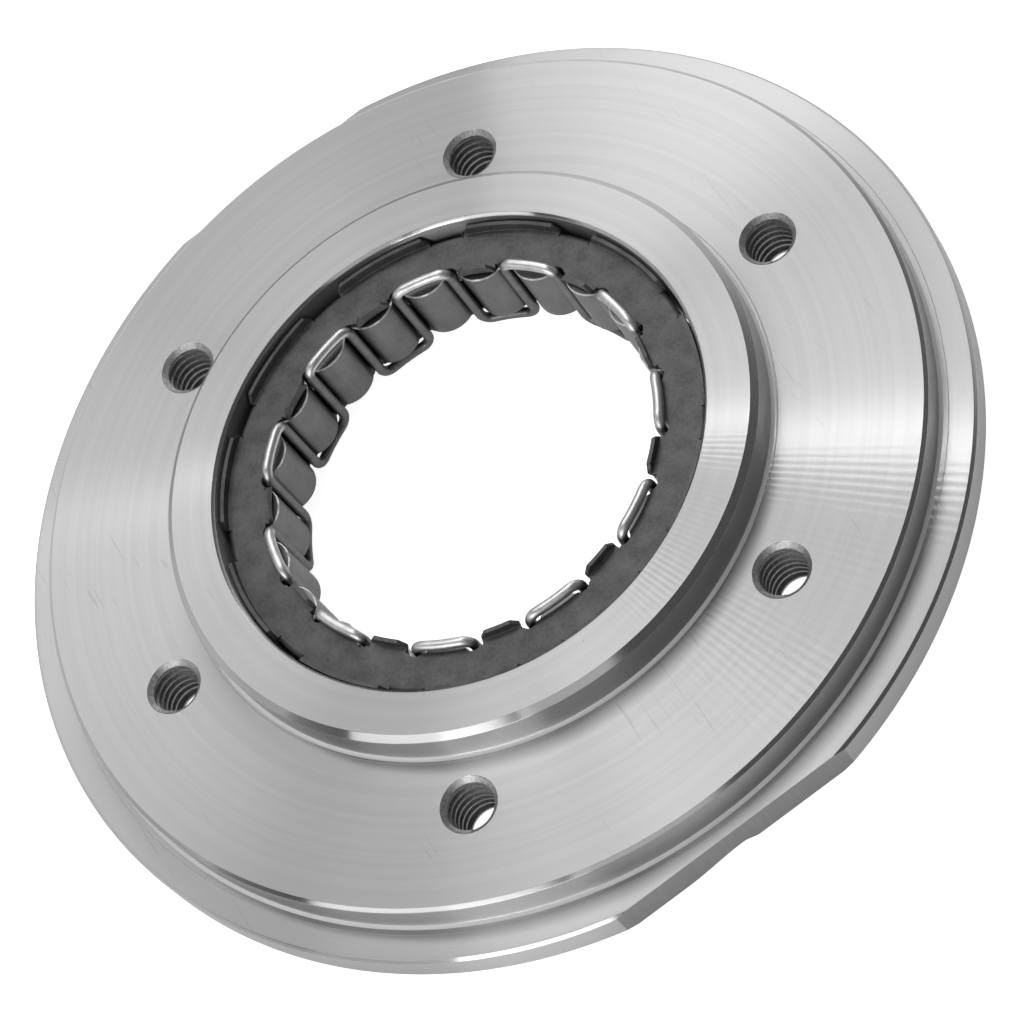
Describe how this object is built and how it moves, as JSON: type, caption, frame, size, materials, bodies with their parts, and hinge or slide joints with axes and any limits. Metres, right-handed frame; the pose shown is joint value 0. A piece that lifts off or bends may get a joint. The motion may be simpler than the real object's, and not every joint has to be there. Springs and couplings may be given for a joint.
{
  "type": "starter clutch",
  "caption": "One-way starter clutch: a stepped steel outer race with tapped holes and two flats round a caged ring of sprags held by a meander spring.",
  "frame": {"origin": "on the clutch's axis, at the rearmost face, that of the short register round the bore", "axes": "+Z along the axis towards the hub side, +X through a bolt hole, the two flats of the rim at +Y and -Y"},
  "size_m": [0.139, 0.1342, 0.0163],
  "materials": {
    "turned_steel": "fine turned, bright",
    "cage_sheet": "dark phosphate, matt",
    "spring_wire": "drawn, satin",
    "sprag_steel": "hardened and tumbled, dark satin"
  },
  "bodies": {
    "outer_race": {"outer_race": "turned_steel"},
    "sprag_unit": {"front_cage_ring": "cage_sheet", "rear_cage_ring": "cage_sheet", "meander_spring": "spring_wire"},
    "sprag_01": {"sprag_01": "sprag_steel"},
    "sprag_02": {"sprag_02": "sprag_steel"},
    "sprag_03": {"sprag_03": "sprag_steel"},
    "sprag_04": {"sprag_04": "sprag_steel"},
    "sprag_05": {"sprag_05": "sprag_steel"},
    "sprag_06": {"sprag_06": "sprag_steel"},
    "sprag_07": {"sprag_07": "sprag_steel"},
    "sprag_08": {"sprag_08": "sprag_steel"},
    "sprag_09": {"sprag_09": "sprag_steel"},
    "sprag_10": {"sprag_10": "sprag_steel"},
    "sprag_11": {"sprag_11": "sprag_steel"},
    "sprag_12": {"sprag_12": "sprag_steel"},
    "sprag_13": {"sprag_13": "sprag_steel"},
    "sprag_14": {"sprag_14": "sprag_steel"},
    "sprag_15": {"sprag_15": "sprag_steel"},
    "sprag_16": {"sprag_16": "sprag_steel"},
    "sprag_17": {"sprag_17": "sprag_steel"},
    "sprag_18": {"sprag_18": "sprag_steel"},
    "sprag_19": {"sprag_19": "sprag_steel"},
    "sprag_20": {"sprag_20": "sprag_steel"},
    "sprag_21": {"sprag_21": "sprag_steel"},
    "sprag_22": {"sprag_22": "sprag_steel"}
  },
  "joints": [
    {"name": "unit_spin", "type": "hinge", "parent": "outer_race", "child": "sprag_unit", "pos_m": [0, 0, 0.0079], "axis": [0, 0, 1], "continuous": true},
    {"name": "sprag_01_tilt", "type": "hinge", "parent": "sprag_unit", "child": "sprag_01", "pos_m": [0.00104, 0.03142, 0.0079], "axis": [0, 0, 1], "range_deg": [-3, 8], "stiffness_Nm_per_rad": 0.004},
    {"name": "sprag_02_tilt", "type": "hinge", "parent": "sprag_unit", "child": "sprag_02", "pos_m": [-0.00785, 0.03044, 0.0079], "axis": [0, 0, 1], "range_deg": [-3, 8], "stiffness_Nm_per_rad": 0.004},
    {"name": "sprag_03_tilt", "type": "hinge", "parent": "sprag_unit", "child": "sprag_03", "pos_m": [-0.01611, 0.02699, 0.0079], "axis": [0, 0, 1], "range_deg": [-3, 8], "stiffness_Nm_per_rad": 0.004},
    {"name": "sprag_04_tilt", "type": "hinge", "parent": "sprag_unit", "child": "sprag_04", "pos_m": [-0.02306, 0.02136, 0.0079], "axis": [0, 0, 1], "range_deg": [-3, 8], "stiffness_Nm_per_rad": 0.004},
    {"name": "sprag_05_tilt", "type": "hinge", "parent": "sprag_unit", "child": "sprag_05", "pos_m": [-0.02815, 0.014, 0.0079], "axis": [0, 0, 1], "range_deg": [-3, 8], "stiffness_Nm_per_rad": 0.004},
    {"name": "sprag_06_tilt", "type": "hinge", "parent": "sprag_unit", "child": "sprag_06", "pos_m": [-0.03095, 0.0055, 0.0079], "axis": [0, 0, 1], "range_deg": [-3, 8], "stiffness_Nm_per_rad": 0.004},
    {"name": "sprag_07_tilt", "type": "hinge", "parent": "sprag_unit", "child": "sprag_07", "pos_m": [-0.03125, -0.00344, 0.0079], "axis": [0, 0, 1], "range_deg": [-3, 8], "stiffness_Nm_per_rad": 0.004},
    {"name": "sprag_08_tilt", "type": "hinge", "parent": "sprag_unit", "child": "sprag_08", "pos_m": [-0.02901, -0.0121, 0.0079], "axis": [0, 0, 1], "range_deg": [-3, 8], "stiffness_Nm_per_rad": 0.004},
    {"name": "sprag_09_tilt", "type": "hinge", "parent": "sprag_unit", "child": "sprag_09", "pos_m": [-0.02443, -0.01979, 0.0079], "axis": [0, 0, 1], "range_deg": [-3, 8], "stiffness_Nm_per_rad": 0.004},
    {"name": "sprag_10_tilt", "type": "hinge", "parent": "sprag_unit", "child": "sprag_10", "pos_m": [-0.01786, -0.02587, 0.0079], "axis": [0, 0, 1], "range_deg": [-3, 8], "stiffness_Nm_per_rad": 0.004},
    {"name": "sprag_11_tilt", "type": "hinge", "parent": "sprag_unit", "child": "sprag_11", "pos_m": [-0.00985, -0.02985, 0.0079], "axis": [0, 0, 1], "range_deg": [-3, 8], "stiffness_Nm_per_rad": 0.004},
    {"name": "sprag_12_tilt", "type": "hinge", "parent": "sprag_unit", "child": "sprag_12", "pos_m": [-0.00104, -0.03142, 0.0079], "axis": [0, 0, 1], "range_deg": [-3, 8], "stiffness_Nm_per_rad": 0.004},
    {"name": "sprag_13_tilt", "type": "hinge", "parent": "sprag_unit", "child": "sprag_13", "pos_m": [0.00785, -0.03044, 0.0079], "axis": [0, 0, 1], "range_deg": [-3, 8], "stiffness_Nm_per_rad": 0.004},
    {"name": "sprag_14_tilt", "type": "hinge", "parent": "sprag_unit", "child": "sprag_14", "pos_m": [0.01611, -0.02699, 0.0079], "axis": [0, 0, 1], "range_deg": [-3, 8], "stiffness_Nm_per_rad": 0.004},
    {"name": "sprag_15_tilt", "type": "hinge", "parent": "sprag_unit", "child": "sprag_15", "pos_m": [0.02306, -0.02136, 0.0079], "axis": [0, 0, 1], "range_deg": [-3, 8], "stiffness_Nm_per_rad": 0.004},
    {"name": "sprag_16_tilt", "type": "hinge", "parent": "sprag_unit", "child": "sprag_16", "pos_m": [0.02815, -0.014, 0.0079], "axis": [0, 0, 1], "range_deg": [-3, 8], "stiffness_Nm_per_rad": 0.004},
    {"name": "sprag_17_tilt", "type": "hinge", "parent": "sprag_unit", "child": "sprag_17", "pos_m": [0.03095, -0.0055, 0.0079], "axis": [0, 0, 1], "range_deg": [-3, 8], "stiffness_Nm_per_rad": 0.004},
    {"name": "sprag_18_tilt", "type": "hinge", "parent": "sprag_unit", "child": "sprag_18", "pos_m": [0.03125, 0.00344, 0.0079], "axis": [0, 0, 1], "range_deg": [-3, 8], "stiffness_Nm_per_rad": 0.004},
    {"name": "sprag_19_tilt", "type": "hinge", "parent": "sprag_unit", "child": "sprag_19", "pos_m": [0.02901, 0.0121, 0.0079], "axis": [0, 0, 1], "range_deg": [-3, 8], "stiffness_Nm_per_rad": 0.004},
    {"name": "sprag_20_tilt", "type": "hinge", "parent": "sprag_unit", "child": "sprag_20", "pos_m": [0.02443, 0.01979, 0.0079], "axis": [0, 0, 1], "range_deg": [-3, 8], "stiffness_Nm_per_rad": 0.004},
    {"name": "sprag_21_tilt", "type": "hinge", "parent": "sprag_unit", "child": "sprag_21", "pos_m": [0.01786, 0.02587, 0.0079], "axis": [0, 0, 1], "range_deg": [-3, 8], "stiffness_Nm_per_rad": 0.004},
    {"name": "sprag_22_tilt", "type": "hinge", "parent": "sprag_unit", "child": "sprag_22", "pos_m": [0.00985, 0.02985, 0.0079], "axis": [0, 0, 1], "range_deg": [-3, 8], "stiffness_Nm_per_rad": 0.004}
  ],
  "couplings": [
    {"joint": "sprag_02_tilt", "follows": "sprag_01_tilt", "ratio": 1},
    {"joint": "sprag_03_tilt", "follows": "sprag_01_tilt", "ratio": 1},
    {"joint": "sprag_04_tilt", "follows": "sprag_01_tilt", "ratio": 1},
    {"joint": "sprag_05_tilt", "follows": "sprag_01_tilt", "ratio": 1},
    {"joint": "sprag_06_tilt", "follows": "sprag_01_tilt", "ratio": 1},
    {"joint": "sprag_07_tilt", "follows": "sprag_01_tilt", "ratio": 1},
    {"joint": "sprag_08_tilt", "follows": "sprag_01_tilt", "ratio": 1},
    {"joint": "sprag_09_tilt", "follows": "sprag_01_tilt", "ratio": 1},
    {"joint": "sprag_10_tilt", "follows": "sprag_01_tilt", "ratio": 1},
    {"joint": "sprag_11_tilt", "follows": "sprag_01_tilt", "ratio": 1},
    {"joint": "sprag_12_tilt", "follows": "sprag_01_tilt", "ratio": 1},
    {"joint": "sprag_13_tilt", "follows": "sprag_01_tilt", "ratio": 1},
    {"joint": "sprag_14_tilt", "follows": "sprag_01_tilt", "ratio": 1},
    {"joint": "sprag_15_tilt", "follows": "sprag_01_tilt", "ratio": 1},
    {"joint": "sprag_16_tilt", "follows": "sprag_01_tilt", "ratio": 1},
    {"joint": "sprag_17_tilt", "follows": "sprag_01_tilt", "ratio": 1},
    {"joint": "sprag_18_tilt", "follows": "sprag_01_tilt", "ratio": 1},
    {"joint": "sprag_19_tilt", "follows": "sprag_01_tilt", "ratio": 1},
    {"joint": "sprag_20_tilt", "follows": "sprag_01_tilt", "ratio": 1},
    {"joint": "sprag_21_tilt", "follows": "sprag_01_tilt", "ratio": 1},
    {"joint": "sprag_22_tilt", "follows": "sprag_01_tilt", "ratio": 1}
  ]
}
